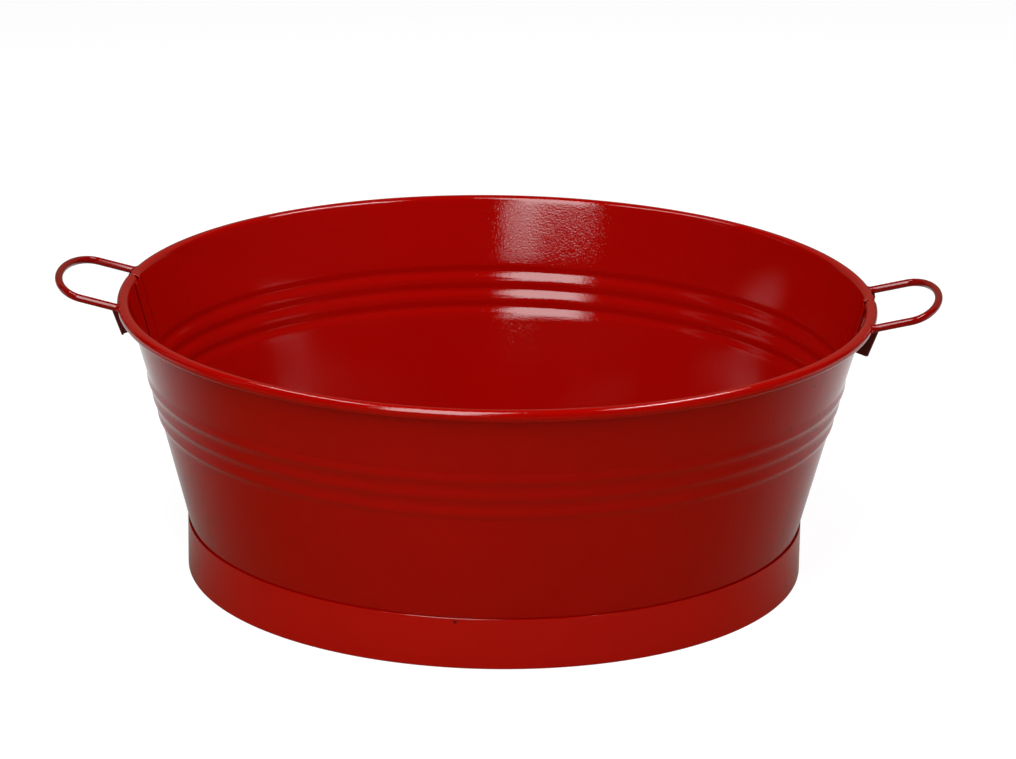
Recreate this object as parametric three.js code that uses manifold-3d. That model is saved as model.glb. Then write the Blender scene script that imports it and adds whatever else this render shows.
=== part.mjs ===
// A round sheet-metal drinks tub: two flared wall sheets lapped at the sides, with the rim rolled
// outwards and three pressed ribs, a base disc on an inward ledge, a foot ring around the skirt,
// and at each side a bent wire handle on a pressed bracket plate under the rim.
// Millimetres. The origin is at the middle of the foot's lower edge, +Z is up, and the handles
// stand along X. The back sheet lies towards +Y.
import * as THREE from 'three';
import { mergeVertices } from 'three/addons/utils/BufferGeometryUtils.js';
import Module from 'manifold-3d';

// Driving dimensions of the tub
const HEIGHT = 163;
const RIM_DIAMETER = 440;
const SHEET = 0.8;
const CLEARANCE = 0.3;

// Rolled rim: the wall runs up into the roll at ROLL_START, measured from straight outwards, where
// it just touches the roll's circle
const BEAD_RADIUS = 3.5;
const ROLL_START = 165;
const ROLL_TURN = 310;
const ROLL_STEPS = 12;

// Pressed ribs, counted round RIB_MIDDLE, the height of the middle one
const RIB_COUNT = 3;
const RIB_PITCH = 10.6;
const RIB_MIDDLE = 107;
const RIB_WIDTH = 9.6;
const RIB_DEPTH = 1.05;

// Foot ring with a folded hem on its lower edge
const FOOT_DIAMETER = 359.8;
const RING_HEIGHT = 29.5;
const RING_SHEET = 0.8;
const HEM_HEIGHT = 6;
const HEM_WIDTH = 1.8;
const EDGE_BREAK = 0.3;
const RING_CLEARANCE = 0.35;

// Skirt of the wall inside the ring, turned in to a ledge that carries the base disc
const LEDGE_HEIGHT = 18;
const LEDGE_WIDTH = 7;
const LEDGE_BEND = 1.6;
const BEND_STEPS = 2;

// Side seams: the back sheet steps in and runs on behind the front sheet
const RIGHT_SEAM = 2.5;
const LEFT_SEAM = 174.8;
const LAP_WIDTH = 8;
const LAP_CLEARANCE = 0.7;
const LAP_STEP_WIDTH = 9;
const STEP_FLAT = 0.2;
const SEAM_GAP = 0.4;

// Wire handles: two legs that rise outwards, joined by a flat bow, half an ellipse
const WIRE_DIAMETER = 4.5;
const HANDLE_SPREAD = 77;
const HANDLE_REACH = 35.8;
const HANDLE_BOW = 17.7;
const HANDLE_RISE = 13.4;
const HANDLE_DROP = 2.2;
const WIRE_SIDES = 6;
const WIRE_STEPS = 40;

// Bracket plates: a pressed channel whose ends are turned in to the wall
const PLATE_SHEET = 1.2;
const PLATE_FOOT = 20;
const PLATE_WIDTH = 79;
const PLATE_STANDOFF = 4.8;
const PLATE_LEAN = 20.4;
const EAR_WIDTH = 9;
const RIGHT_PLATE_CORNER = 0.6;
const LEFT_PLATE_CORNER = 3;
const CORNER_STEPS = 4;

// Facets
const FULL_TURN = 360;
const ANGLE_STEP = 6;
const SMALLEST_STEP = 0.5;
const KEEP_OUT_STEPS = 8;

// Sizes that follow from those above
const RIM_RADIUS = RIM_DIAMETER / 2;
const FOOT_RADIUS = FOOT_DIAMETER / 2;
const BEAD_CENTRE_RADIUS = RIM_RADIUS - BEAD_RADIUS;
const BEAD_CENTRE_HEIGHT = HEIGHT - BEAD_RADIUS;
const SKIRT_RADIUS = FOOT_RADIUS - RING_SHEET - RING_CLEARANCE - SHEET / 2;
const FLARE_START = RING_HEIGHT;
const LAP_INSET = SHEET + LAP_CLEARANCE;
const FLOOR_UNDERSIDE = LEDGE_HEIGHT + SHEET + CLEARANCE;
const degrees = THREE.MathUtils.degToRad;

// Paint and metal
const redPaint = (name, color, roughness) =>
  new THREE.MeshStandardMaterial({ name, color, roughness, metalness: 0.1 });

// Booleans: a closed three.js geometry becomes a solid and a solid becomes a geometry
const wasm = await Module();
wasm.setup();

function toSolid(geometry) {
  const bare = geometry.clone();
  bare.deleteAttribute('normal');
  bare.deleteAttribute('uv');
  const merged = mergeVertices(bare, 1e-4);
  return new wasm.Manifold(
    new wasm.Mesh({
      numProp: 3,
      vertProperties: new Float32Array(merged.attributes.position.array),
      triVerts: new Uint32Array(merged.index.array),
    }),
  );
}

function toGeometry(solid) {
  const mesh = solid.getMesh();
  const geometry = new THREE.BufferGeometry();
  geometry.setAttribute('position', new THREE.BufferAttribute(new Float32Array(mesh.vertProperties), 3));
  geometry.setIndex(new THREE.BufferAttribute(new Uint32Array(mesh.triVerts), 1));
  geometry.computeVertexNormals();
  return geometry;
}

// Where the roll begins on the middle line of the sheet
const rollRadius = BEAD_RADIUS - SHEET / 2;
const rollPoint = (angle, radius) =>
  new THREE.Vector2(
    BEAD_CENTRE_RADIUS + radius * Math.cos(degrees(angle)),
    BEAD_CENTRE_HEIGHT + radius * Math.sin(degrees(angle)),
  );
const flareFoot = new THREE.Vector2(SKIRT_RADIUS, FLARE_START);
const flareTop = rollPoint(ROLL_START, rollRadius);
const flareDirection = flareTop.clone().sub(flareFoot).normalize();
const flareNormal = new THREE.Vector2(flareDirection.y, -flareDirection.x);

// Radius of the flared wall's outer face at a height, between the ribs
function wallOuterRadius(height) {
  const along = (height - flareFoot.y) / flareDirection.y;
  return flareFoot.x + flareDirection.x * along + SHEET / 2 / flareNormal.x;
}

// One rib is a raised cosine, five points long, pressed outwards from the flare
function ribPoints(height) {
  const middle = (height - flareFoot.y) / flareDirection.y;
  return [-0.5, -0.25, 0, 0.25, 0.5].map((share) => {
    const lift = RIB_DEPTH * Math.cos(Math.PI * share) ** 2;
    return flareFoot
      .clone()
      .addScaledVector(flareDirection, middle + share * RIB_WIDTH)
      .addScaledVector(flareNormal, lift);
  });
}

// Middle line of the wall from the foot of the flare to its top
function flareLine() {
  const points = [flareFoot.clone()];
  for (let i = 0; i < RIB_COUNT; i += 1) {
    points.push(...ribPoints(RIB_MIDDLE + (i - (RIB_COUNT - 1) / 2) * RIB_PITCH));
  }
  points.push(flareTop.clone());
  return points;
}

// Middle line of a whole sheet: ledge, bend, skirt, flare with its ribs, and the roll
function sheetLine() {
  const points = [new THREE.Vector2(SKIRT_RADIUS - LEDGE_WIDTH, LEDGE_HEIGHT + SHEET / 2)];
  for (let i = 0; i <= BEND_STEPS; i += 1) {
    const angle = degrees(-90 + (90 * i) / BEND_STEPS);
    points.push(
      new THREE.Vector2(
        SKIRT_RADIUS - LEDGE_BEND + LEDGE_BEND * Math.cos(angle),
        LEDGE_HEIGHT + SHEET / 2 + LEDGE_BEND + LEDGE_BEND * Math.sin(angle),
      ),
    );
  }
  points.push(...flareLine());
  for (let i = 1; i <= ROLL_STEPS; i += 1) {
    points.push(rollPoint(ROLL_START - (ROLL_TURN * i) / ROLL_STEPS, rollRadius));
  }
  return points;
}

// Middle line of the plain strip of the back sheet that runs on behind the front sheet. It ends
// above the ledge and below the roll.
function lapLine() {
  const foot = new THREE.Vector2(SKIRT_RADIUS, FLOOR_UNDERSIDE + SHEET + CLEARANCE);
  const line = flareLine();
  const top = line.pop();
  const height = HEIGHT - 2 * BEAD_RADIUS - CLEARANCE;
  top.addScaledVector(flareDirection, (height - top.y) / flareDirection.y);
  return [foot, ...line, top];
}

// Closed outline of a sheet of even thickness on both sides of its middle line
function sheetOutline(line, thickness) {
  const offsetSide = (side) =>
    line.map((point, i) => {
      const before = line[Math.max(i - 1, 0)];
      const after = line[Math.min(i + 1, line.length - 1)];
      const into = point.clone().sub(before).normalize();
      const out = after.clone().sub(point).normalize();
      const along = into.add(out).normalize();
      const halfTurn = i > 0 && i < line.length - 1 ? Math.abs(along.dot(out)) : 1;
      const reach = ((side * thickness) / 2) / halfTurn;
      return new THREE.Vector2(point.x + along.y * reach, point.y - along.x * reach);
    });
  return new THREE.Shape([...offsetSide(1), ...offsetSide(-1).reverse()]);
}

// Angles of the stations from one end of a sheet to the other, high to low, on the common grid
// in between
function stations(low, high, extra = []) {
  const grid = [];
  for (let angle = Math.ceil(low / ANGLE_STEP) * ANGLE_STEP; angle < high; angle += ANGLE_STEP) {
    grid.push(angle);
  }
  const all = [low, ...grid, ...extra, high].sort((a, b) => b - a);
  return all.filter((angle, i) => i === 0 || all[i - 1] - angle > SMALLEST_STEP || angle === low);
}

// A section swept about Z: it is extruded straight, one unit for each station, and each vertex is
// then carried to its station's angle and moved in by the inset there.
function sweepAboutAxis(section, angles, inset = () => 0) {
  const geometry = new THREE.ExtrudeGeometry(section, {
    depth: angles.length - 1,
    steps: angles.length - 1,
    bevelEnabled: false,
  });
  const position = geometry.attributes.position;
  for (let i = 0; i < position.count; i += 1) {
    const angle = angles[Math.round(position.getZ(i))];
    const radius = position.getX(i) - inset(angle);
    const height = position.getY(i);
    position.setXYZ(i, radius * Math.cos(degrees(angle)), radius * Math.sin(degrees(angle)), height);
  }
  geometry.computeVertexNormals();
  return geometry;
}

// A profile, listed anticlockwise with the radius to the right, turned about Z through a full circle
function revolve(profile, segments = FULL_TURN / ANGLE_STEP) {
  return new THREE.LatheGeometry(profile, segments).rotateX(Math.PI / 2);
}

// Front sheet, plain from seam to seam
function frontWall() {
  const section = sheetOutline(sheetLine(), SHEET);
  return sweepAboutAxis(section, stations(LEFT_SEAM, RIGHT_SEAM + FULL_TURN));
}

// Back sheet: it steps in just before each seam, and its lap strip goes on behind the front sheet
function backWall() {
  const degreesPerMm = 180 / Math.PI / SKIRT_RADIUS;
  const stepWidth = LAP_STEP_WIDTH * degreesPerMm;
  const lapWidth = LAP_WIDTH * degreesPerMm;
  const gap = SEAM_GAP * degreesPerMm;
  const low = RIGHT_SEAM + gap;
  const high = LEFT_SEAM - gap;
  const inset = (angle) => {
    const fromEnd = Math.min(angle - low, high - angle);
    return LAP_INSET * (1 - THREE.MathUtils.smoothstep(fromEnd, STEP_FLAT * stepWidth, stepWidth));
  };
  const shares = [STEP_FLAT, (1 + STEP_FLAT) / 2, 1];
  const steps = shares.flatMap((share) => [low + share * stepWidth, high - share * stepWidth]);
  const main = sweepAboutAxis(sheetOutline(sheetLine(), SHEET), stations(low, high, steps), inset);
  const strip = sheetOutline(lapLine(), SHEET);
  const overlap = STEP_FLAT * stepWidth;
  const rightLap = sweepAboutAxis(strip, [low + overlap, low, low - lapWidth], () => LAP_INSET);
  const leftLap = sweepAboutAxis(strip, [high + lapWidth, high, high - overlap], () => LAP_INSET);
  return toGeometry(toSolid(main).add(toSolid(rightLap)).add(toSolid(leftLap)));
}

// Base disc, lying on the flat of the ledge inside its bend, the lap strips included
function baseDisc() {
  const radius = SKIRT_RADIUS - LAP_INSET - LEDGE_BEND;
  const top = FLOOR_UNDERSIDE + SHEET;
  return revolve([
    new THREE.Vector2(0, FLOOR_UNDERSIDE),
    new THREE.Vector2(radius, FLOOR_UNDERSIDE),
    new THREE.Vector2(radius, top),
    new THREE.Vector2(0, top),
  ]);
}

// Foot ring: a straight band with a hem folded to the inside, which gives it a flat lower edge
function footRing() {
  const inner = FOOT_RADIUS - RING_SHEET;
  const hem = FOOT_RADIUS - HEM_WIDTH;
  return revolve([
    new THREE.Vector2(hem, EDGE_BREAK),
    new THREE.Vector2(hem + EDGE_BREAK, 0),
    new THREE.Vector2(FOOT_RADIUS - EDGE_BREAK, 0),
    new THREE.Vector2(FOOT_RADIUS, EDGE_BREAK),
    new THREE.Vector2(FOOT_RADIUS, RING_HEIGHT),
    new THREE.Vector2(inner, RING_HEIGHT),
    new THREE.Vector2(inner, HEM_HEIGHT),
    new THREE.Vector2(hem, HEM_HEIGHT),
    new THREE.Vector2(hem, EDGE_BREAK),
  ]);
}

// The space that the wall and the rolled rim take up, grown by the clearance and filled to the
// axis. Handles and plates are coped to it.
function tubKeepOut() {
  const bead = BEAD_RADIUS + CLEARANCE;
  const above = HEIGHT + 2 * BEAD_RADIUS;
  const under = HEIGHT - 2 * BEAD_RADIUS;
  const grow = CLEARANCE / flareNormal.x;
  const profile = [
    new THREE.Vector2(0, FLARE_START),
    new THREE.Vector2(wallOuterRadius(FLARE_START) + grow, FLARE_START),
    new THREE.Vector2(wallOuterRadius(under) + grow, under - CLEARANCE),
  ];
  for (let i = 0; i <= KEEP_OUT_STEPS; i += 1) {
    profile.push(rollPoint(-90 + (180 * i) / KEEP_OUT_STEPS, bead));
  }
  profile.push(new THREE.Vector2(BEAD_CENTRE_RADIUS, above));
  profile.push(new THREE.Vector2(0, above));
  return toSolid(revolve(profile, (2 * FULL_TURN) / ANGLE_STEP));
}
const keepOut = tubKeepOut();

// The loop's middle line laid flat: a leg, the bow and the other leg
class LoopLine extends THREE.Curve {
  constructor() {
    super();
    const half = HANDLE_SPREAD / 2;
    const bend = HANDLE_REACH - HANDLE_BOW;
    const quarter = Math.PI / 2;
    this.flat = new THREE.Path();
    this.flat.moveTo(-2 * BEAD_RADIUS, half);
    this.flat.lineTo(bend, half);
    this.flat.absellipse(bend, 0, HANDLE_BOW, half, quarter, -quarter, true);
    this.flat.lineTo(-2 * BEAD_RADIUS, -half);
  }

  getPoint(t, target = new THREE.Vector3()) {
    const point = this.flat.getPointAt(t);
    return target.set(point.x, point.y, 0);
  }
}

// The loop for the +X side as a wire of a given diameter, in its plane that rises outwards
function loopSolid(diameter) {
  const section = new THREE.Shape();
  section.absarc(0, 0, diameter / 2, 0, 2 * Math.PI);
  const wire = new THREE.ExtrudeGeometry(section, {
    steps: WIRE_STEPS,
    curveSegments: WIRE_SIDES,
    extrudePath: new LoopLine(),
    bevelEnabled: false,
  });
  wire.rotateY(-degrees(HANDLE_RISE));
  wire.translate(RIM_RADIUS, 0, HEIGHT - HANDLE_DROP);
  return toSolid(wire);
}

// Wire handle, with both ends coped to the rim
function wireHandle() {
  return toGeometry(loopSolid(WIRE_DIAMETER).subtract(keepOut));
}

// Outline of a plate's face, from its foot up: low in the middle, under the roll, with an ear at
// each end that comes up under a leg of the handle
function plateFace(earTop, middleTop, corner) {
  const half = PLATE_WIDTH / 2;
  const quarter = Math.PI / 2;
  const face = new THREE.Shape();
  face.moveTo(half, earTop);
  face.lineTo(half - EAR_WIDTH, earTop);
  face.lineTo(half - EAR_WIDTH, middleTop);
  face.lineTo(EAR_WIDTH - half, middleTop);
  face.lineTo(EAR_WIDTH - half, earTop);
  face.lineTo(-half, earTop);
  face.absarc(corner - half, corner, corner, -2 * quarter, -quarter, false);
  face.absarc(half - corner, corner, corner, -quarter, 0, false);
  return face;
}

// Bracket plate for the +X side: the face and its two turned-in ends are cut out of a channel,
// leaned outwards, and coped to the wall, the rim and the two legs that sit on its ears.
function bracketPlate(corner) {
  const lean = degrees(PLATE_LEAN);
  const foot = HEIGHT - PLATE_FOOT;
  const faceRadius = wallOuterRadius(foot) + PLATE_STANDOFF;
  const half = PLATE_WIDTH / 2;
  const depth = RIM_RADIUS - Math.sqrt(RIM_RADIUS ** 2 - half ** 2) + 2 * PLATE_STANDOFF;
  const upTheFace = (height) => (height - foot) / Math.cos(lean);
  const earTop = upTheFace(HEIGHT - HANDLE_DROP - WIRE_DIAMETER / 2);
  const middleTop = upTheFace(HEIGHT - 2 * BEAD_RADIUS - CLEARANCE);

  const face = new THREE.ExtrudeGeometry(plateFace(earTop, middleTop, corner), {
    depth,
    curveSegments: CORNER_STEPS,
    bevelEnabled: false,
  });
  const sideways = new THREE.Vector3(0, 1, 0);
  const upwards = new THREE.Vector3(0, 0, 1);
  const outwards = new THREE.Vector3(1, 0, 0);
  face.applyMatrix4(new THREE.Matrix4().makeBasis(sideways, upwards, outwards));
  face.translate(-depth, 0, 0);

  const channel = new THREE.ExtrudeGeometry(
    new THREE.Shape([
      new THREE.Vector2(0, -half),
      new THREE.Vector2(0, half),
      new THREE.Vector2(-depth, half),
      new THREE.Vector2(-depth, half - PLATE_SHEET),
      new THREE.Vector2(-PLATE_SHEET, half - PLATE_SHEET),
      new THREE.Vector2(-PLATE_SHEET, PLATE_SHEET - half),
      new THREE.Vector2(-depth, PLATE_SHEET - half),
      new THREE.Vector2(-depth, -half),
    ]),
    { depth: earTop, bevelEnabled: false },
  );
  const plate = toGeometry(toSolid(face).intersect(toSolid(channel)));
  plate.rotateY(lean);
  plate.translate(faceRadius, 0, foot);
  const legs = loopSolid(WIRE_DIAMETER + 2 * CLEARANCE);
  return toGeometry(toSolid(plate).subtract(keepOut).subtract(legs));
}

// The tub put together
const tub = new THREE.Group();

function addPart(name, geometry, material, parent = tub) {
  const mesh = new THREE.Mesh(geometry, material);
  mesh.name = name;
  parent.add(mesh);
}

addPart('front_wall', frontWall(), redPaint('red_paint_front', 0x9c120d, 0.28));
addPart('back_wall', backWall(), redPaint('red_paint_back', 0x9c120d, 0.28));
addPart('base_disc', baseDisc(), redPaint('red_paint_base', 0x98100c, 0.3));
addPart('foot_ring', footRing(), redPaint('red_paint_ring', 0xa0150e, 0.28));

const sides = [
  { side: 'right', turn: 0, corner: RIGHT_PLATE_CORNER },
  { side: 'left', turn: Math.PI, corner: LEFT_PLATE_CORNER },
];
for (const { side, turn, corner } of sides) {
  const grip = new THREE.Group();
  grip.rotation.z = turn;
  tub.add(grip);
  addPart(`${side}_handle`, wireHandle(), redPaint(`red_paint_${side}_handle`, 0x8e1410, 0.25), grip);
  addPart(`${side}_bracket`, bracketPlate(corner), redPaint(`red_paint_${side}_plate`, 0x7a100d, 0.3), grip);
}

export default tub;
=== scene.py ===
# A low, flared party tub of red enamelled sheet steel, for bottles on ice: two wall sheets with
# ribs and a rolled rim, a base disc, a foot ring, and a wire handle on a pressed plate at each side.
# Metres; the origin is at the middle of the foot's lower edge, +Z is up, the handles lie along X.
import math

import bmesh
import bpy
import numpy as np
from mathutils import Matrix, Vector


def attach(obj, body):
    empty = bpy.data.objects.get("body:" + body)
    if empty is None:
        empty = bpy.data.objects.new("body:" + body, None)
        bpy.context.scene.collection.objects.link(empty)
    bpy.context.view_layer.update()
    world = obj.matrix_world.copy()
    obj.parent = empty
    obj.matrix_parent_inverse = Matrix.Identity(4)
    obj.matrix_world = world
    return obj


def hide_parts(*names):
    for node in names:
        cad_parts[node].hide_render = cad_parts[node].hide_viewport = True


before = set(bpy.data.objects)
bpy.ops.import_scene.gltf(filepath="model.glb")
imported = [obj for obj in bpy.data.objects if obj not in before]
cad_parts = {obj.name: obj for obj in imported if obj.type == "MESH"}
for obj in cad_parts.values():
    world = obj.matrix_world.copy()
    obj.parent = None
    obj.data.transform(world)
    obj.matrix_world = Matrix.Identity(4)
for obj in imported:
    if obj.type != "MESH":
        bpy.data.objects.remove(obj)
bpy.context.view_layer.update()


# Wall, front half. Steel sheet, rolled to a flared half round, with three ribs pressed outwards.
# Its top edge is rolled outwards into a bead, its foot is turned in to a ledge for the base disc,
# and its two ends lap over the back half behind the handles.
SHEET = 0.0008
SKIRT_RADIUS = 0.17835
LEDGE_WIDTH = 0.007
LEDGE_HEIGHT = 0.0184
LEDGE_BEND = 0.0016
FLARE_FOOT = np.array([SKIRT_RADIUS, 0.0295])
BEAD_MIDDLE = np.array([0.2165, 0.1595])
BEAD_RADIUS = 0.0035
ROLL_RADIUS = BEAD_RADIUS - SHEET / 2
ROLL_START = 165.0
ROLL_END = -145.0
RIB_HEIGHTS = (0.0964, 0.107, 0.1176)
RIB_WIDTH = 0.0096
RIB_DEPTH = 0.00105
FLARE_BOW = 0.0005
RIGHT_SEAM = 2.5
LEFT_SEAM = 174.8
LAP_FOOT = 0.0201
LAP_TOP = 0.1602
ORANGE_PEEL_SCALE = 900.0
SHEET_WAVE_SCALE = 22.0
TINT_SCALE = 14.0
# Colour of the small dark spots in the paint colour, and how far they go towards it
SPOT_COLOUR = (0.03, 0.004, 0.003, 1)
SPOT_SHARE = 0.8

# Spacing of the points that the sheets are drawn with. Near a cut edge the rows and stations are
# closer, at shares of half the thickness and at angles that follow its rounding.
FLARE_POINTS = 1200
LINE_STEP = 0.00015
LINE_SOFTNESS = 0.0003
ROW_TURN = 7.5
ROW_LENGTH = 0.006
STATION_STEP = 1.2
EDGE_SHARES = np.array([0, 0.12, 0.35, 0.7, 1.2])
EDGE_ANGLES = np.array([0, 0.014, 0.04, 0.08, 0.13, 0.3])
EDGE_CLEARANCE = 1.2
THINNEST_SHARE = 0.15


def arc(middle, radius, start, end, count):
    """Points of a circle in the section: middle + radius * (cos a, sin a), a in even steps."""
    angle = np.radians(np.linspace(start, end, count))
    return middle + radius * np.stack([np.cos(angle), np.sin(angle)], axis=1)


ROLL_FOOT = arc(BEAD_MIDDLE, ROLL_RADIUS, ROLL_START, ROLL_START, 1)[0]
FLARE_LENGTH = float(np.hypot(*(ROLL_FOOT - FLARE_FOOT)))
FLARE_ALONG = (ROLL_FOOT - FLARE_FOOT) / FLARE_LENGTH
FLARE_OUT = np.array([FLARE_ALONG[1], -FLARE_ALONG[0]])


def ribbed_flare():
    """The flare, drawn in by FLARE_BOW along half a sine wave, with a raised cosine of depth
    RIB_DEPTH and width RIB_WIDTH for each rib."""
    along = np.linspace(0, FLARE_LENGTH, FLARE_POINTS)
    lift = -FLARE_BOW * np.sin(np.pi * along / FLARE_LENGTH)
    for height in RIB_HEIGHTS:
        share = (along - (height - FLARE_FOOT[1]) / FLARE_ALONG[1]) / RIB_WIDTH
        lift += np.where(abs(share) < 0.5, RIB_DEPTH * np.cos(np.pi * share) ** 2, 0)
    return FLARE_FOOT + along[:, None] * FLARE_ALONG + lift[:, None] * FLARE_OUT


def softened(corners, step, softness):
    """A line of points at even steps, each the mean of its neighbours under a bell curve whose
    width is softness, so that sharp bends become small radii."""
    along = np.concatenate([[0], np.cumsum(np.hypot(*np.diff(corners, axis=0).T))])
    at = np.linspace(0, along[-1], int(along[-1] / step) + 1)
    line = np.stack([np.interp(at, along, corners[:, k]) for k in (0, 1)], axis=1)
    reach = int(4 * softness / step)
    bell = np.exp(-0.5 * (np.arange(-reach, reach + 1) * step / softness) ** 2)
    bell /= bell.sum()
    before = line[0] + (line[0] - line[1]) * np.arange(reach, 0, -1)[:, None]
    after = line[-1] + (line[-1] - line[-2]) * np.arange(1, reach + 1)[:, None]
    longer = np.concatenate([before, line, after])
    return np.stack([np.convolve(longer[:, k], bell, "valid") for k in (0, 1)], axis=1)


def section_rows(line, half, turn_step, length_step, heights=()):
    """Rows of a section: a row for each turn_step degrees of bend or length_step of straight,
    closer rows at both cut edges, and one at each height asked for. Gives the points, the normals
    to the right of the line, and each row's distance from the nearer end."""
    leg = np.diff(line, axis=0)
    length = np.hypot(*leg.T)
    heading = np.unwrap(np.arctan2(leg[:, 1], leg[:, 0]))
    bend = np.degrees(abs(np.diff(heading, prepend=heading[0])))
    along = np.concatenate([[0], np.cumsum(length)])
    spent = np.concatenate([[0], np.cumsum(length / length_step + bend / turn_step)])
    at = np.interp(np.linspace(0, spent[-1], int(spent[-1]) + 2), spent, along)
    edge = half * EDGE_SHARES
    clear = edge[-1] * EDGE_CLEARANCE
    at = at[(at > clear) & (at < along[-1] - clear)]
    level = [along[int(np.argmin(abs(line[:, 1] - height)))] for height in heights]
    at = np.sort(np.concatenate([edge, at, along[-1] - edge[::-1], level]))
    tangent = np.gradient(line, along, axis=0)
    tangent /= np.hypot(*tangent.T)[:, None]
    points = np.stack([np.interp(at, along, line[:, k]) for k in (0, 1)], axis=1)
    tangent = np.stack([np.interp(at, along, tangent[:, k]) for k in (0, 1)], axis=1)
    tangent /= np.hypot(*tangent.T)[:, None]
    normal = np.stack([tangent[:, 1], -tangent[:, 0]], axis=1)
    return points, normal, np.minimum(at, along[-1] - at)


def rounded_edge(distance, half):
    """Half the thickness at a distance from a cut edge: a quarter circle, never quite nothing."""
    near = np.clip(distance / half, 0, 1)
    return half * np.maximum(np.sqrt(1 - (1 - near) ** 2), THINNEST_SHARE)


def piece_of(name, points, faces, material, node, sharp=50):
    """A closed piece from its points and its four-cornered faces. Points that meet are made one,
    and the faces are turned outwards."""
    used, new = np.unique(faces, return_inverse=True)
    mesh = bpy.data.meshes.new(name)
    mesh.from_pydata(points.reshape(-1, 3)[used].tolist(), [], new.reshape(faces.shape).tolist())
    shell = bmesh.new()
    shell.from_mesh(mesh)
    bmesh.ops.remove_doubles(shell, verts=shell.verts, dist=1e-6)
    bmesh.ops.dissolve_degenerate(shell, edges=shell.edges, dist=1e-7)
    bmesh.ops.recalc_face_normals(shell, faces=shell.faces)
    shell.to_mesh(mesh)
    shell.free()
    mesh.shade_smooth()
    mesh.set_sharp_from_angle(angle=math.radians(sharp))
    mesh.materials.append(material)
    piece = bpy.data.objects.new(name, mesh)
    bpy.context.scene.collection.objects.link(piece)
    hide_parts(node)
    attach(piece, "root")
    return piece


def sheet_faces(metal, closed=False):
    """Faces of a sheet with two sides on a grid of rows and columns. metal[i, j] says whether a
    cell is there. Each cell gives a face on both sides, and each border of the metal an edge."""
    rows, columns = metal.shape[0] + 1, metal.shape[1] + (0 if closed else 1)
    index = np.arange(2 * rows * columns).reshape(2, rows, columns)
    if closed:
        index = np.concatenate([index, index[:, :, :1]], axis=2)
    low, high, west, east = slice(None, -1), slice(1, None), slice(None, -1), slice(1, None)

    def cells(corners, where):
        return np.stack([index[side][i, j][where] for side, i, j in corners], axis=1)

    pad = np.pad(metal, 1)
    if closed:
        pad[1:-1, 0] = metal[:, -1]
        pad[1:-1, -1] = metal[:, 0]
    return np.concatenate([
        cells([(0, low, west), (0, low, east), (0, high, east), (0, high, west)], metal),
        cells([(1, low, west), (1, high, west), (1, high, east), (1, low, east)], metal),
        cells([(0, low, east), (0, low, west), (1, low, west), (1, low, east)], metal & ~pad[:-2, 1:-1]),
        cells([(0, high, west), (0, high, east), (1, high, east), (1, high, west)], metal & ~pad[2:, 1:-1]),
        cells([(0, low, west), (0, high, west), (1, high, west), (1, low, west)], metal & ~pad[1:-1, :-2]),
        cells([(0, high, east), (0, low, east), (1, low, east), (1, high, east)], metal & ~pad[1:-1, 2:]),
    ])


def turned(points, normal, half, angles, inset):
    """Both sides of a sheet turned about Z: the section's point, moved in by the inset of the
    station, plus and minus half the thickness along the normal, at the station's angle."""
    sides = []
    for way in (1, -1):
        radius = points[:, :1] - inset + way * half * normal[:, :1]
        height = points[:, 1:] + way * half * normal[:, 1:] + 0 * inset
        turn = np.radians(angles)[None, :]
        sides.append(np.stack([radius * np.cos(turn), radius * np.sin(turn), height], axis=2))
    return np.stack(sides)


def stations(low, high, extra=()):
    """Angles from low to high in even steps, closer at both cut edges, with extra ones between."""
    count = int((high - low) / STATION_STEP) + 1
    even = np.linspace(low, high, count)[1:-1]
    return np.unique(np.concatenate([low + EDGE_ANGLES, even, extra, high - EDGE_ANGLES[::-1]]))


def orange_peel_group():
    """Height of sprayed enamel: fine dimples about a millimetre apart and a broad slow wave of the
    sheet under them. Tint is a slow cloud between 0 and 1 for the colour and the gloss."""
    group = bpy.data.node_groups.new("enamel_surface", "ShaderNodeTree")
    sockets = group.interface
    for name, value in (("Dimples", 1.0), ("Wave", 1.0), ("Dimple Scale", ORANGE_PEEL_SCALE)):
        entry = sockets.new_socket(name=name, in_out="INPUT", socket_type="NodeSocketFloat")
        entry.default_value = value
    sockets.new_socket(name="Height", in_out="OUTPUT", socket_type="NodeSocketFloat")
    sockets.new_socket(name="Tint", in_out="OUTPUT", socket_type="NodeSocketFloat")
    nodes, links = group.nodes, group.links
    given = nodes.new("NodeGroupInput")
    out = nodes.new("NodeGroupOutput")
    place = nodes.new("ShaderNodeTexCoord")

    def cloud(scale, detail):
        noise = nodes.new("ShaderNodeTexNoise")
        noise.inputs["Scale"].default_value = scale
        noise.inputs["Detail"].default_value = detail
        links.new(place.outputs["Object"], noise.inputs["Vector"])
        return noise

    def times(a, b):
        product = nodes.new("ShaderNodeMath")
        product.operation = "MULTIPLY"
        links.new(a, product.inputs[0])
        links.new(b, product.inputs[1])
        return product.outputs[0]

    dimples = cloud(ORANGE_PEEL_SCALE, 1.0)
    links.new(given.outputs["Dimple Scale"], dimples.inputs["Scale"])
    wave = cloud(SHEET_WAVE_SCALE, 1.0)
    total = nodes.new("ShaderNodeMath")
    total.operation = "ADD"
    links.new(times(dimples.outputs["Fac"], given.outputs["Dimples"]), total.inputs[0])
    links.new(times(wave.outputs["Fac"], given.outputs["Wave"]), total.inputs[1])
    links.new(total.outputs[0], out.inputs["Height"])
    links.new(cloud(TINT_SCALE, 3.0).outputs["Fac"], out.inputs["Tint"])
    return group


enamel_surface = orange_peel_group()


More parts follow.
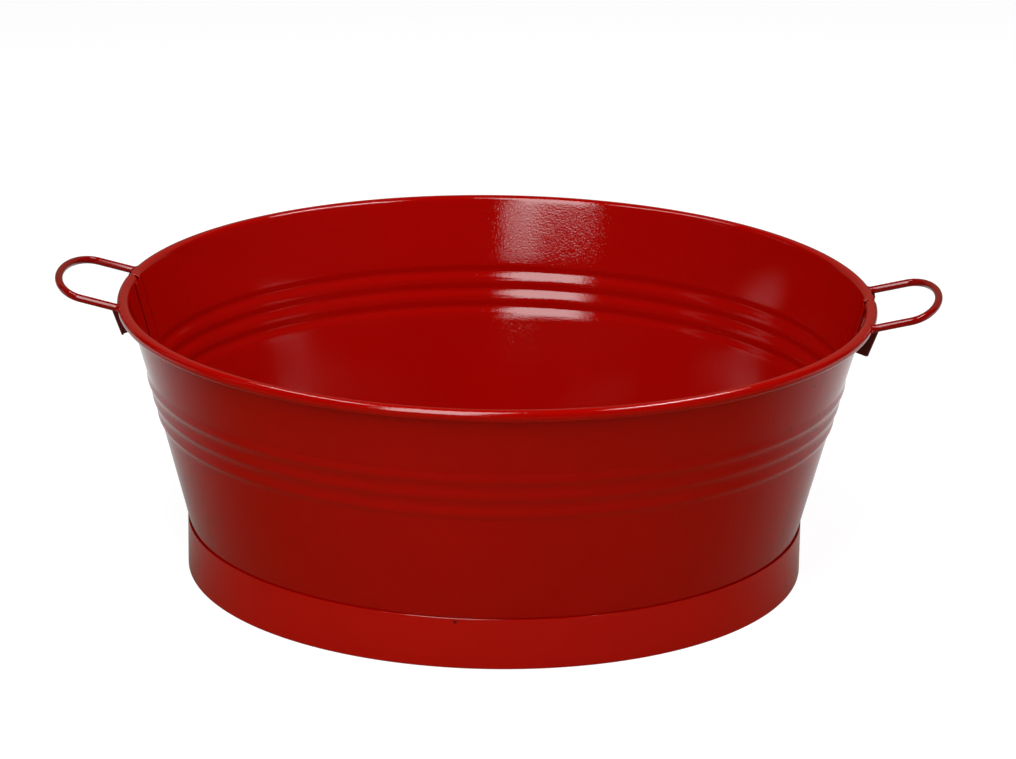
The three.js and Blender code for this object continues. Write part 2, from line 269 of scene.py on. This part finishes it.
def enamel(name, thin, thick, gloss, dimples, wave):
    """Glossy red enamel: colour and roughness drift slowly between two values each, and the
    surface has orange peel. dimples and wave are heights in metres."""
    material = bpy.data.materials.new(name)
    material.use_nodes = True
    nodes, links = material.node_tree.nodes, material.node_tree.links
    shader = nodes["Principled BSDF"]
    surface = nodes.new("ShaderNodeGroup")
    surface.node_tree = enamel_surface
    surface.inputs["Dimples"].default_value = dimples
    surface.inputs["Wave"].default_value = wave
    colour = nodes.new("ShaderNodeMix")
    colour.data_type = "RGBA"
    colour.inputs["A"].default_value = (*thin, 1)
    colour.inputs["B"].default_value = (*thick, 1)
    links.new(surface.outputs["Tint"], colour.inputs["Factor"])
    links.new(colour.outputs["Result"], shader.inputs["Base Color"])
    rough = nodes.new("ShaderNodeMapRange")
    rough.inputs["To Min"].default_value = gloss[0]
    rough.inputs["To Max"].default_value = gloss[1]
    links.new(surface.outputs["Tint"], rough.inputs["Value"])
    links.new(rough.outputs["Result"], shader.inputs["Roughness"])
    bump = nodes.new("ShaderNodeBump")
    bump.inputs["Strength"].default_value = 1.0
    bump.inputs["Distance"].default_value = 1.0
    links.new(surface.outputs["Height"], bump.inputs["Height"])
    links.new(bump.outputs["Normal"], shader.inputs["Normal"])
    shader.inputs["IOR"].default_value = 1.5
    return material


def darken_spots(material, spots):
    """Small dark spots in the colour: near each point, within its radius, the colour goes
    towards a dark brown."""
    nodes, links = material.node_tree.nodes, material.node_tree.links
    shader = nodes["Principled BSDF"]
    place = nodes.new("ShaderNodeTexCoord")
    for point, radius in spots:
        away = nodes.new("ShaderNodeVectorMath")
        away.operation = "DISTANCE"
        away.inputs[1].default_value = point
        links.new(place.outputs["Object"], away.inputs[0])
        spot_share = nodes.new("ShaderNodeMapRange")
        spot_share.inputs["From Min"].default_value = 0.5 * radius
        spot_share.inputs["From Max"].default_value = radius
        spot_share.inputs["To Min"].default_value = SPOT_SHARE
        spot_share.inputs["To Max"].default_value = 0.0
        links.new(away.outputs["Value"], spot_share.inputs["Value"])
        colour = nodes.new("ShaderNodeMix")
        colour.data_type = "RGBA"
        colour.inputs["B"].default_value = SPOT_COLOUR
        links.new(spot_share.outputs["Result"], colour.inputs["Factor"])
        links.new(shader.inputs["Base Color"].links[0].from_socket, colour.inputs["A"])
        links.new(colour.outputs["Result"], shader.inputs["Base Color"])


tub_paint = enamel(
    "tub_paint",
    thin=(0.31, 0.0016, 0.0004),
    thick=(0.27, 0.0010, 0.0003),
    gloss=(0.04, 0.07),
    dimples=5.5e-5,
    wave=9e-5,
)
# Three small dark spots in the colour, on the front right of the wall
darken_spots(tub_paint, [
    ((0.1828, -0.1031, 0.1454), 0.0011),
    ((0.1859, -0.0945, 0.1404), 0.0011),
    ((0.1701, -0.1126, 0.1235), 0.0010),
])

wall_line = softened(
    np.concatenate([
        [[SKIRT_RADIUS - LEDGE_WIDTH, LEDGE_HEIGHT]],
        arc(np.array([SKIRT_RADIUS - LEDGE_BEND, LEDGE_HEIGHT + LEDGE_BEND]), LEDGE_BEND, -90, 0, 12),
        ribbed_flare(),
        arc(BEAD_MIDDLE, ROLL_RADIUS, ROLL_START, ROLL_END, 160)[1:],
    ]),
    LINE_STEP,
    LINE_SOFTNESS,
)
lap_ends = (LAP_FOOT + 0.0001, LAP_TOP - 0.0001)
wall_rows, wall_normal, wall_edge = section_rows(wall_line, SHEET / 2, ROW_TURN, ROW_LENGTH, lap_ends)

degrees_per_metre = 180 / math.pi / SKIRT_RADIUS
front_end = RIGHT_SEAM + 360
front_angles = stations(LEFT_SEAM, front_end)
front_cut = np.minimum(front_angles - LEFT_SEAM, front_end - front_angles) / degrees_per_metre
front_half = np.minimum(
    rounded_edge(wall_edge, SHEET / 2)[:, None],
    rounded_edge(front_cut, SHEET / 2)[None, :],
)
piece_of(
    "front_sheet",
    turned(wall_rows, wall_normal, front_half, front_angles, np.zeros(len(front_angles))),
    sheet_faces(np.ones((len(wall_rows) - 1, len(front_angles) - 1), bool)),
    tub_paint,
    "front_wall",
)


# Wall, back half. The same sheet and tools. Just before each seam it steps in by a sheet's
# thickness, its bead a little more, and a spot-welded strip of it with a thinned edge runs on
# behind the front half.
LAP_INSET = 0.0015
LAP_WIDTH = 0.008
LAP_STEP_WIDTH = 0.009
SEAM_GAP = 0.0002
STEP_FLAT = 0.2
LAP_TIGHT = 0.57
LAP_FEATHER = 4.0
BLEND_ROWS = 7

back_low = RIGHT_SEAM + SEAM_GAP * degrees_per_metre
back_high = LEFT_SEAM - SEAM_GAP * degrees_per_metre
lap = LAP_WIDTH * degrees_per_metre
step = LAP_STEP_WIDTH * degrees_per_metre
lap_angles = np.array([0, 0.02, 0.06, 0.14, 0.25, 0.38, 0.52, lap / 2])


def back_inset(angles):
    """How far the back half is set in at an angle: the whole inset within a flat end of the step,
    and nothing beyond the step, with a smooth S curve between."""
    from_end = np.minimum(angles - back_low, back_high - angles)
    share = np.clip((from_end / step - STEP_FLAT) / (1 - STEP_FLAT), 0, 1)
    return LAP_INSET * (1 - share * share * (3 - 2 * share))


step_shares = np.linspace(STEP_FLAT, 1, 9) * step
back_angles = np.concatenate([
    back_low - lap + lap_angles,
    stations(back_low, back_high, [*(back_low + step_shares), *(back_high - step_shares)]),
    back_high + lap - lap_angles[::-1],
])
on_seam_side = (back_angles[:-1] < back_low - 1e-9) | (back_angles[1:] > back_high + 1e-9)
flare_end = int(np.argmin(np.hypot(*(wall_rows - ROLL_FOOT).T)))
below_roll = np.arange(len(wall_rows)) <= flare_end
row_is_lap = (wall_rows[:, 1] > LAP_FOOT) & (wall_rows[:, 1] < LAP_TOP) & below_roll
cell_is_lap = row_is_lap[:-1] & row_is_lap[1:]
main_cut = np.minimum(abs(back_angles - back_low), abs(back_angles - back_high)) / degrees_per_metre
lap_cut = np.minimum(back_angles - back_angles[0], back_angles[-1] - back_angles) / degrees_per_metre
back_half = np.minimum(
    rounded_edge(wall_edge, SHEET / 2)[:, None],
    np.where(
        row_is_lap[:, None],
        rounded_edge(lap_cut / LAP_FEATHER, SHEET / 2)[None, :],
        rounded_edge(main_cut, SHEET / 2)[None, :],
    ),
)
row_inset = np.where(below_roll, LAP_TIGHT, 1)
blend = np.full(BLEND_ROWS, 1 / BLEND_ROWS)
row_inset = np.convolve(np.pad(row_inset, BLEND_ROWS // 2, "edge"), blend, "valid")
piece_of(
    "back_sheet",
    turned(wall_rows, wall_normal, back_half, back_angles, row_inset[:, None] * back_inset(back_angles)),
    sheet_faces(cell_is_lap[:, None] | ~on_seam_side[None, :]),
    tub_paint,
    "back_wall",
)


# Base disc. A flat steel disc that lies on the ledge, seamed and painted with the wall. A shallow
# pressed circle near its edge keeps it from drumming.
DISC_RADIUS = 0.17525
DISC_MIDDLE = 0.0195
DISC_SWAGE_RADIUS = 0.158
DISC_SWAGE_WIDTH = 0.006
DISC_SWAGE_DEPTH = 0.0004

disc_radii = np.concatenate([
    np.linspace(0, DISC_SWAGE_RADIUS - DISC_SWAGE_WIDTH, 14),
    DISC_SWAGE_RADIUS + DISC_SWAGE_WIDTH * np.linspace(-0.9, 0.9, 17),
    np.linspace(DISC_SWAGE_RADIUS + DISC_SWAGE_WIDTH, DISC_RADIUS - 0.001, 4),
    DISC_RADIUS - SHEET / 2 * EDGE_SHARES[::-1],
])
swage_share = np.clip((disc_radii - DISC_SWAGE_RADIUS) / DISC_SWAGE_WIDTH, -1, 1)
disc_lift = DISC_SWAGE_DEPTH * np.cos(np.pi / 2 * swage_share) ** 2
disc_rows = np.stack([disc_radii, DISC_MIDDLE + disc_lift], axis=1)
disc_normal = np.tile([0.0, -1.0], (len(disc_rows), 1))
disc_angles = np.linspace(0, 360, 240, endpoint=False)
disc_half = np.tile(rounded_edge(DISC_RADIUS - disc_radii, SHEET / 2)[:, None], (1, len(disc_angles)))
piece_of(
    "base",
    turned(disc_rows, disc_normal, disc_half, disc_angles, np.zeros(len(disc_angles))),
    sheet_faces(np.ones((len(disc_rows) - 1, len(disc_angles)), bool), closed=True),
    tub_paint,
    "base_disc",
)


# Foot ring. A straight steel band round the skirt, welded inside. Its lower edge is folded in to
# a hem that the tub stands on; its upper edge shows as a thin step under the flare.
RING_RADIUS = 0.1799
RING_SHEET = 0.0008
RING_TOP = 0.0295
HEM_HEIGHT = 0.006
HEM_FOLD = 0.0005
DENT_ANGLE = -93.9
DENT_HEIGHT = 0.0274
DENT_SIZE = 0.0017
DENT_DEPTH = 0.0004
DENT_REACH = 0.0021
RING_LINE_STEP = 0.0001
RING_SOFTNESS = 0.00012
RING_ROW_TURN = 12
RING_ROW_LENGTH = 0.0012

foot_paint = enamel(
    "foot_paint",
    thin=(0.375, 0.0026, 0.0007),
    thick=(0.325, 0.0018, 0.0005),
    gloss=(0.08, 0.12),
    dimples=1.1e-5,
    wave=8e-5,
)
# A small dark spot in the colour, at the middle of the dent
darken_spots(foot_paint, [((-0.0123, -0.1795, 0.0274), 0.0014)])
ring_outer = RING_RADIUS - RING_SHEET / 2
ring_line = softened(
    np.concatenate([
        [[ring_outer - 2 * HEM_FOLD, HEM_HEIGHT]],
        arc(np.array([ring_outer - HEM_FOLD, HEM_FOLD + RING_SHEET / 2]), HEM_FOLD, 180, 360, 40),
        [[ring_outer, 0.018], [ring_outer, RING_TOP]],
    ]),
    RING_LINE_STEP,
    RING_SOFTNESS,
)
dent_heights = DENT_HEIGHT + np.linspace(-DENT_REACH, DENT_REACH, 13)
ring_rows, ring_normal, ring_edge = section_rows(
    ring_line, RING_SHEET / 2, RING_ROW_TURN, RING_ROW_LENGTH, dent_heights
)
ring_angles = np.unique(np.concatenate([
    np.linspace(-180, 180, 300, endpoint=False),
    DENT_ANGLE + np.linspace(-1.2, 1.2, 25),
]))
ring_half = np.tile(rounded_edge(ring_edge, RING_SHEET / 2)[:, None], (1, len(ring_angles)))
ring_sides = turned(ring_rows, ring_normal, ring_half, ring_angles, np.zeros(len(ring_angles)))
dent_across = np.radians(ring_angles - DENT_ANGLE) * RING_RADIUS
dent_far = (dent_across[None, :] ** 2 + (ring_rows[:, 1:] - DENT_HEIGHT) ** 2) / DENT_SIZE**2
dent = DENT_DEPTH * np.exp(-2 * dent_far) * (ring_rows[:, :1] > ring_outer - HEM_FOLD)
ring_sides[..., 0] -= dent * np.cos(np.radians(ring_angles))[None, :]
ring_sides[..., 1] -= dent * np.sin(np.radians(ring_angles))[None, :]
piece_of(
    "foot_band",
    ring_sides,
    sheet_faces(np.ones((len(ring_rows) - 1, len(ring_angles)), bool), closed=True),
    foot_paint,
    "foot_ring",
)


# Handles. Steel wire bent to a loop with a flat bow, welded with its two cut ends to the outside
# of the bead, so that it stands out fixed and rises a little outwards.
WIRE_RADIUS = 0.00225
HANDLE_HALF_SPREAD = 0.0385
HANDLE_REACH = 0.0358
HANDLE_BOW = 0.0177
HANDLE_RISE = 13.4
HANDLE_START = np.array([0.22, 0.0, 0.1608])
WIRE_SECTORS = 28

# At a weld the wire's rows swell by these shares of its radius and stand this far off the bead
WELD_SWELL = np.array([0.02, 1.55, 1.32, 1.15, 1.05, 1.0, 1.0])[:, None, None]
WELD_BACK = np.array([-0.0001, 0, 0.00025, 0.0006, 0.0011, 0.0018, 0.004])[:, None, None]

handle_paint = enamel(
    "handle_paint",
    thin=(0.22, 0.0014, 0.0008),
    thick=(0.17, 0.0010, 0.0006),
    gloss=(0.06, 0.1),
    dimples=6e-6,
    wave=1e-5,
)


def tub_gap(points):
    """How far points are from the painted tub: the nearer of the bead, a circle's tube, and the
    flared wall, a cone. Beside a seam the back half stands in by its inset."""
    radius = np.hypot(points[..., 0], points[..., 1])
    angle = np.degrees(np.arctan2(points[..., 1], points[..., 0]))
    inset = np.where((angle > back_low) & (angle < back_high), back_inset(angle), 0)
    height = points[..., 2]
    bead = np.hypot(radius - BEAD_MIDDLE[0] + inset, height - BEAD_MIDDLE[1]) - BEAD_RADIUS
    wall_radius = FLARE_FOOT[0] + (height - FLARE_FOOT[1]) * FLARE_ALONG[0] / FLARE_ALONG[1]
    wall = (radius - wall_radius + inset) * FLARE_OUT[0] - SHEET / 2
    return np.where(height < BEAD_MIDDLE[1], np.minimum(bead, wall), bead)


def reach_to_tub(start, direction, far, clear):
    """Distance along a direction at which each start comes within clear of the tub: the first of
    500 even steps that is too near, moved back along the line between it and the one before."""
    steps = np.linspace(0, far, 500)
    gap = tub_gap(start[..., None, :] + steps[:, None] * direction) - clear
    first = np.maximum(np.argmax(gap < 0, axis=-1), 1)
    near = np.take_along_axis(gap, first[..., None], -1)[..., 0]
    before = np.take_along_axis(gap, first[..., None] - 1, -1)[..., 0]
    return steps[first] - near / (near - before) * (steps[1] - steps[0])


def wire_loop(turn):
    """The loop as a round wire carried along its middle line: a leg, half an ellipse, a leg. At
    each leg the rows swell and end on the bead, which is the fillet of the weld."""
    rise = math.radians(HANDLE_RISE)
    around = Matrix.Rotation(math.radians(turn), 3, "Z")
    out, side, over = (
        np.array(around @ Vector(v))
        for v in ((math.cos(rise), 0, math.sin(rise)), (0, 1, 0), (-math.sin(rise), 0, math.cos(rise)))
    )
    start = np.array(around @ Vector(HANDLE_START))
    bend = HANDLE_REACH - HANDLE_BOW
    sector = np.linspace(0, 2 * math.pi, WIRE_SECTORS, endpoint=False)[None, :, None]

    def leg(way):
        round_wire = way * np.cos(sector) * side + np.sin(sector) * over
        fibre = start + bend * out + way * HANDLE_HALF_SPREAD * side
        fibre = fibre + WELD_SWELL * WIRE_RADIUS * round_wire
        reach = reach_to_tub(fibre, -out, far=0.03, clear=0.0)
        return fibre - (reach[..., None] - WELD_BACK) * out

    turn_on = np.linspace(0, math.pi, 64)[:, None]
    middle = start + bend * out
    middle = middle + HANDLE_BOW * np.sin(turn_on) * out + HANDLE_HALF_SPREAD * np.cos(turn_on) * side
    away = HANDLE_HALF_SPREAD * np.sin(turn_on) * out + HANDLE_BOW * np.cos(turn_on) * side
    away /= np.linalg.norm(away, axis=1)[:, None]
    rows = middle[:, None] + WIRE_RADIUS * (np.cos(sector) * away[:, None] + np.sin(sector) * over)
    return np.concatenate([leg(1), rows, leg(-1)[::-1]])


def tube_faces(rows, sectors):
    """Faces between neighbouring rows of a round tube."""
    index = np.arange(rows * sectors).reshape(rows, sectors)
    after = np.roll(index, -1, axis=1)
    return np.stack([index[:-1], after[:-1], after[1:], index[1:]], axis=2).reshape(-1, 4)


for side_name, side_turn in (("right", 0), ("left", 180)):
    loop_points = wire_loop(side_turn)
    piece_of(
        f"{side_name}_loop",
        loop_points,
        tube_faces(len(loop_points), WIRE_SECTORS),
        handle_paint,
        f"{side_name}_handle",
        sharp=70,
    )


# Bracket plates. Steel pressed to a shallow channel: a face that leans outwards under the bead,
# two ends turned in to the wall, and an ear at each end that comes up under a leg of the handle.
PLATE_SHEET = 0.0012
PLATE_FOOT = 0.143
PLATE_FACE_RADIUS = 0.21407
PLATE_HALF_WIDTH = 0.0395
PLATE_LEAN = 20.4
PLATE_BEND = 0.0014
EAR_WIDTH = 0.009
EAR_SOFT = 0.0006
EAR_TOP = 0.15845
PLATE_MIDDLE_TOP = 0.1557
PLATE_CLEARANCE = 0.0003
PLATE_CORNERS = {"right": 0.0006, "left": 0.003}

# The plates get a near-black red: painted shade, for the shadow they lie in under the bead
bracket_paint = enamel(
    "bracket_paint",
    thin=(0.085, 0.001, 0.001),
    thick=(0.055, 0.0008, 0.0008),
    gloss=(0.14, 0.24),
    dimples=6e-6,
    wave=1e-5,
)


def bracket(turn, corner):
    """Both sides of the plate on a grid. Across, the columns run in along one turned-in end, round
    its bend, over the face and back in; up, they run from the foot, which rises in a quarter round
    at each corner, to the top, which is higher on the ears. The turned-in ends stop at the wall."""
    lean = math.radians(PLATE_LEAN)
    middle_top = (PLATE_MIDDLE_TOP - PLATE_FOOT) / math.cos(lean)
    ear_rise = (EAR_TOP - PLATE_MIDDLE_TOP) / math.cos(lean)
    inner_half = PLATE_HALF_WIDTH - PLATE_SHEET / 2
    straight = inner_half - PLATE_BEND
    bend = np.linspace(0, math.pi / 2, 8)[1:-1]
    ear = PLATE_HALF_WIDTH - EAR_WIDTH
    half_face = np.concatenate([
        np.linspace(0, ear - 2 * EAR_SOFT, 9),
        ear + np.linspace(-EAR_SOFT, EAR_SOFT, 7),
        np.linspace(ear + 2.5 * EAR_SOFT, straight, 7),
    ])
    flange = np.array([0.0, 0.2, 0.4, 0.6, 0.8, 0.93, 0.97, 0.99, 1.0])
    on_face, on_flange = np.ones(len(half_face)), np.ones(len(flange))
    across = np.concatenate([half_face, straight + PLATE_BEND * np.sin(bend), inner_half * on_flange])
    inward = np.concatenate([0 * on_face, PLATE_BEND * (1 - np.cos(bend)), PLATE_BEND * on_flange])
    share = np.concatenate([0 * on_face, 0 * bend, flange])
    normal_out = np.concatenate([on_face, np.cos(bend), 0 * on_flange])
    normal_side = np.concatenate([0 * on_face, np.sin(bend), on_flange])
    from_corner = np.clip(1 - (PLATE_HALF_WIDTH - across) / corner, 0, 1)
    foot = corner * (1 - np.sqrt(1 - from_corner**2))
    rise = np.clip((across - ear) / EAR_SOFT + 0.5, 0, 1)
    top = middle_top + ear_rise * rise * rise * (3 - 2 * rise)
    across, normal_side = (np.concatenate([-v[:0:-1], v]) for v in (across, normal_side))
    even = (inward, share, normal_out, foot, top)
    inward, share, normal_out, foot, top = (np.concatenate([v[:0:-1], v]) for v in even)
    edge = np.array([0, 0.02, 0.05, 0.09])
    rows = np.concatenate([edge, np.linspace(0.13, 0.87, 40), 1 - edge[::-1]])[:, None]
    up = foot + (top - foot) * rows
    out_way = np.array([math.cos(lean), 0, -math.sin(lean)])
    up_way = np.array([math.sin(lean), 0, math.cos(lean)])
    side_way = np.array([0.0, 1.0, 0.0])
    around = np.array(Matrix.Rotation(math.radians(turn), 3, "Z"))
    begin = np.array([PLATE_FACE_RADIUS, 0, PLATE_FOOT]) - (PLATE_SHEET / 2) * out_way
    face = begin + up[..., None] * up_way + across[:, None] * side_way - inward[:, None] * out_way
    reach = reach_to_tub(face @ around.T, -(around @ out_way), far=0.02, clear=PLATE_CLEARANCE)
    face = face - (share[None, :] * reach)[..., None] * out_way
    from_foot = np.minimum(up - foot, top - up)
    from_wall = np.where(share > 0, (1 - share[None, :]) * reach, PLATE_SHEET)
    half = np.minimum(rounded_edge(from_foot, PLATE_SHEET / 2), rounded_edge(from_wall, PLATE_SHEET / 2))
    normal = normal_out[:, None] * out_way + normal_side[:, None] * side_way
    sides = np.stack([face + half[..., None] * normal, face - half[..., None] * normal])
    return sides @ around.T


for side_name, side_turn in (("right", 0), ("left", 180)):
    plate_points = bracket(side_turn, PLATE_CORNERS[side_name])
    piece_of(
        f"{side_name}_plate",
        plate_points,
        sheet_faces(np.ones((plate_points.shape[1] - 1, plate_points.shape[2] - 1), bool)),
        bracket_paint,
        f"{side_name}_bracket",
    )


# Studio. A pale sweep: a floor that curves up to a wall behind the tub. It keeps the tub's soft
# shadow. In the tub's gloss it is bright round the tub's back and dim in front and far away.
SWEEP_HALF_WIDTH = 6.0
SWEEP_FRONT = -6.0
SWEEP_BACK = 4.0
SWEEP_CURVE = 1.5
SWEEP_TOP = 6.0
CARD_COLOUR = (0.6, 0.59, 0.57, 1)
SHADE_COLOUR = (0.25, 0.25, 0.25, 1)
WHITE_LIFT = 0.85
DIM_TONE = (0.10, 0.065, 0.03, 1)
BRIGHT_TONE = (0.75, 0.75, 0.75, 1)
BRIGHT_FROM = (-0.15, 0.35)
BRIGHT_UNTIL = (0.4, 1.1)


def sweep_surface():
    """The floor's straight line, a quarter round and a straight wall, drawn out sideways."""
    turn = np.linspace(0, math.pi / 2, 24)
    wall_depth = SWEEP_BACK + SWEEP_CURVE
    depth = np.concatenate([[SWEEP_FRONT], SWEEP_BACK + SWEEP_CURVE * np.sin(turn), [wall_depth]])
    height = np.concatenate([[0], SWEEP_CURVE * (1 - np.cos(turn)), [SWEEP_TOP]])
    left = np.stack([0 * depth - SWEEP_HALF_WIDTH, depth, height], axis=1)
    right = np.stack([0 * depth + SWEEP_HALF_WIDTH, depth, height], axis=1)
    index = np.arange(2 * len(depth)).reshape(-1, 2)
    faces = np.stack([index[:-1, 0], index[:-1, 1], index[1:, 1], index[1:, 0]], axis=1)
    return np.stack([left, right], axis=1).reshape(-1, 3), faces


def sweep_material():
    """Matt pale card. The camera sees it lifted to white with its shadow; the tub's gloss sees it
    dim and warm in front of the tub and far away, and white on the floor round its back."""
    material = bpy.data.materials.new("studio_card")
    material.use_nodes = True
    nodes, links = material.node_tree.nodes, material.node_tree.links
    nodes.clear()
    out = nodes.new("ShaderNodeOutputMaterial")
    card = nodes.new("ShaderNodeBsdfDiffuse")
    card.inputs["Color"].default_value = CARD_COLOUR
    thin_shade = nodes.new("ShaderNodeBsdfDiffuse")
    thin_shade.inputs["Color"].default_value = SHADE_COLOUR
    lift = nodes.new("ShaderNodeEmission")
    lift.inputs["Strength"].default_value = WHITE_LIFT
    shown = nodes.new("ShaderNodeAddShader")
    links.new(thin_shade.outputs[0], shown.inputs[0])
    links.new(lift.outputs[0], shown.inputs[1])
    path = nodes.new("ShaderNodeLightPath")
    seen = nodes.new("ShaderNodeMixShader")
    links.new(path.outputs["Is Camera Ray"], seen.inputs["Fac"])
    links.new(card.outputs[0], seen.inputs[1])
    links.new(shown.outputs[0], seen.inputs[2])
    place = nodes.new("ShaderNodeTexCoord")
    split = nodes.new("ShaderNodeSeparateXYZ")
    links.new(place.outputs["Object"], split.inputs[0])
    bright = nodes.new("ShaderNodeMath")
    bright.operation = "MULTIPLY"
    rises_and_falls = ((BRIGHT_FROM, (0.0, 1.0)), (BRIGHT_UNTIL, (1.0, 0.08)))
    for factor, ((start, end), (before, after)) in enumerate(rises_and_falls):
        level = nodes.new("ShaderNodeMapRange")
        level.interpolation_type = "SMOOTHSTEP"
        level.inputs["From Min"].default_value = start
        level.inputs["From Max"].default_value = end
        level.inputs["To Min"].default_value = before
        level.inputs["To Max"].default_value = after
        links.new(split.outputs["Y"], level.inputs["Value"])
        links.new(level.outputs["Result"], bright.inputs[factor])
    tone = nodes.new("ShaderNodeMix")
    tone.data_type = "RGBA"
    tone.inputs["A"].default_value = DIM_TONE
    tone.inputs["B"].default_value = BRIGHT_TONE
    links.new(bright.outputs[0], tone.inputs["Factor"])
    glow = nodes.new("ShaderNodeEmission")
    links.new(tone.outputs["Result"], glow.inputs["Color"])
    mirrored = nodes.new("ShaderNodeMixShader")
    links.new(path.outputs["Is Glossy Ray"], mirrored.inputs["Fac"])
    links.new(seen.outputs[0], mirrored.inputs[1])
    links.new(glow.outputs[0], mirrored.inputs[2])
    links.new(mirrored.outputs[0], out.inputs["Surface"])
    return material


sweep_points, sweep_cells = sweep_surface()
sweep_mesh = bpy.data.meshes.new("studio_sweep")
sweep_mesh.from_pydata(sweep_points.tolist(), [], sweep_cells.tolist())
sweep_mesh.shade_smooth()
sweep_mesh.materials.append(sweep_material())
sweep = bpy.data.objects.new("studio_sweep", sweep_mesh)
bpy.context.scene.collection.objects.link(sweep)


# Room light. White to the camera, a plain grey fill for matt light, and nearly dark in the gloss,
# as a studio with black cloth in front.
ROOM_FILL = 0.125
ROOM_GLOSS = 0.004
ROOM_WHITE = 1.0

world = bpy.data.worlds.new("studio_room")
world.use_nodes = True
bpy.context.scene.world = world
room = world.node_tree
room.nodes.clear()
room_out = room.nodes.new("ShaderNodeOutputWorld")
room_path = room.nodes.new("ShaderNodeLightPath")
room_fill = room.nodes.new("ShaderNodeBackground")
room_fill.inputs["Strength"].default_value = ROOM_FILL
room_gloss = room.nodes.new("ShaderNodeBackground")
room_gloss.inputs["Strength"].default_value = ROOM_GLOSS
room_white = room.nodes.new("ShaderNodeBackground")
room_white.inputs["Strength"].default_value = ROOM_WHITE
room_matt = room.nodes.new("ShaderNodeMixShader")
room_seen = room.nodes.new("ShaderNodeMixShader")
room.links.new(room_path.outputs["Is Glossy Ray"], room_matt.inputs["Fac"])
room.links.new(room_fill.outputs[0], room_matt.inputs[1])
room.links.new(room_gloss.outputs[0], room_matt.inputs[2])
room.links.new(room_path.outputs["Is Camera Ray"], room_seen.inputs["Fac"])
room.links.new(room_matt.outputs[0], room_seen.inputs[1])
room.links.new(room_white.outputs[0], room_seen.inputs[2])
room.links.new(room_seen.outputs[0], room_out.inputs["Surface"])


# Lamps. A tall soft box in front on the left reaches from above the camera to overhead, with two
# low edges under it. A long narrow one hangs high on each side and draws the lines on the bead, a
# broad matt one on the right lights the wall, and two strips on the left show as faint bands.
AIM = Vector((0, 0.2, 0.14))


def soft_box(name, azimuths, elevations, distance, radiance, in_gloss=True):
    """A rectangle of light that covers a range of azimuths, counted from straight in front towards
    +X, and of elevations, as seen from the middle of the back wall. One that isn't in the gloss
    only gives matt light."""
    turn, lift = (math.radians(sum(pair) / 2) for pair in (azimuths, elevations))
    wide, tall = (math.radians((pair[1] - pair[0]) / 2) for pair in (azimuths, elevations))
    level = math.cos(lift)
    way = Vector((math.sin(turn) * level, -math.cos(turn) * level, math.sin(lift)))
    lamp = bpy.data.lights.new(name, "AREA")
    lamp.shape = "RECTANGLE"
    lamp.size = 2 * distance * level * math.tan(wide)
    lamp.size_y = 2 * distance * math.tan(tall)
    lamp.energy = radiance * math.pi * lamp.size * lamp.size_y
    placed = bpy.data.objects.new(name, lamp)
    placed.location = AIM + distance * way
    placed.rotation_euler = way.to_track_quat("Z", "Y").to_euler()
    placed.visible_camera = False
    placed.visible_glossy = in_gloss
    bpy.context.scene.collection.objects.link(placed)


soft_box("front_soft_box", (-31.0, 0.5), (18.5, 72.0), 2.0, 7.2)
soft_box("front_low_edge", (-10.0, 0.5), (14.9, 18.7), 2.3, 4.5)
soft_box("front_low_side", (-29.0, -9.8), (16.6, 18.7), 2.3, 4.0)
soft_box("right_high_strip", (45.0, 112.0), (58.0, 64.0), 1.6, 20.0)
soft_box("left_high_strip", (-112.0, -45.0), (58.0, 64.0), 1.6, 9.0)
soft_box("right_matt_box", (40.0, 110.0), (5.0, 45.0), 1.6, 0.95, in_gloss=False)
soft_box("left_strip", (-73.5, -70.0), (14.0, 40.0), 1.6, 0.3)
soft_box("left_rear_strip", (-104.0, -100.0), (14.0, 40.0), 1.6, 0.35)


# Camera. A long lens a little above the rim, turned slightly towards the left handle.
IMAGE_WIDTH = 1016
FOCAL_PIXELS = 4500
SENSOR_WIDTH = 36.0
CAMERA_YAW = 2.6
CAMERA_PITCH = 17.686
CAMERA_ROLL = 0.838
CAMERA_PLACE = (0.12025, -2.49777, 0.9085)

view = bpy.data.cameras.new("view_camera")
view.sensor_width = SENSOR_WIDTH
view.lens = FOCAL_PIXELS / IMAGE_WIDTH * SENSOR_WIDTH
view.clip_end = 50.0
camera = bpy.data.objects.new("view_camera", view)
yaw, pitch, roll = (math.radians(a) for a in (CAMERA_YAW, CAMERA_PITCH, CAMERA_ROLL))
ahead = Vector((-math.sin(yaw) * math.cos(pitch), math.cos(yaw) * math.cos(pitch), -math.sin(pitch)))
level_right = Vector((math.cos(yaw), math.sin(yaw), 0))
level_up = level_right.cross(ahead)
right = math.cos(roll) * level_right + math.sin(roll) * level_up
up = math.cos(roll) * level_up - math.sin(roll) * level_right
turned_to = Matrix((right, up, -ahead)).transposed().to_4x4()
camera.matrix_world = Matrix.Translation(CAMERA_PLACE) @ turned_to
bpy.context.scene.collection.objects.link(camera)
bpy.context.scene.camera = camera
bpy.context.scene.view_settings.view_transform = "Standard"
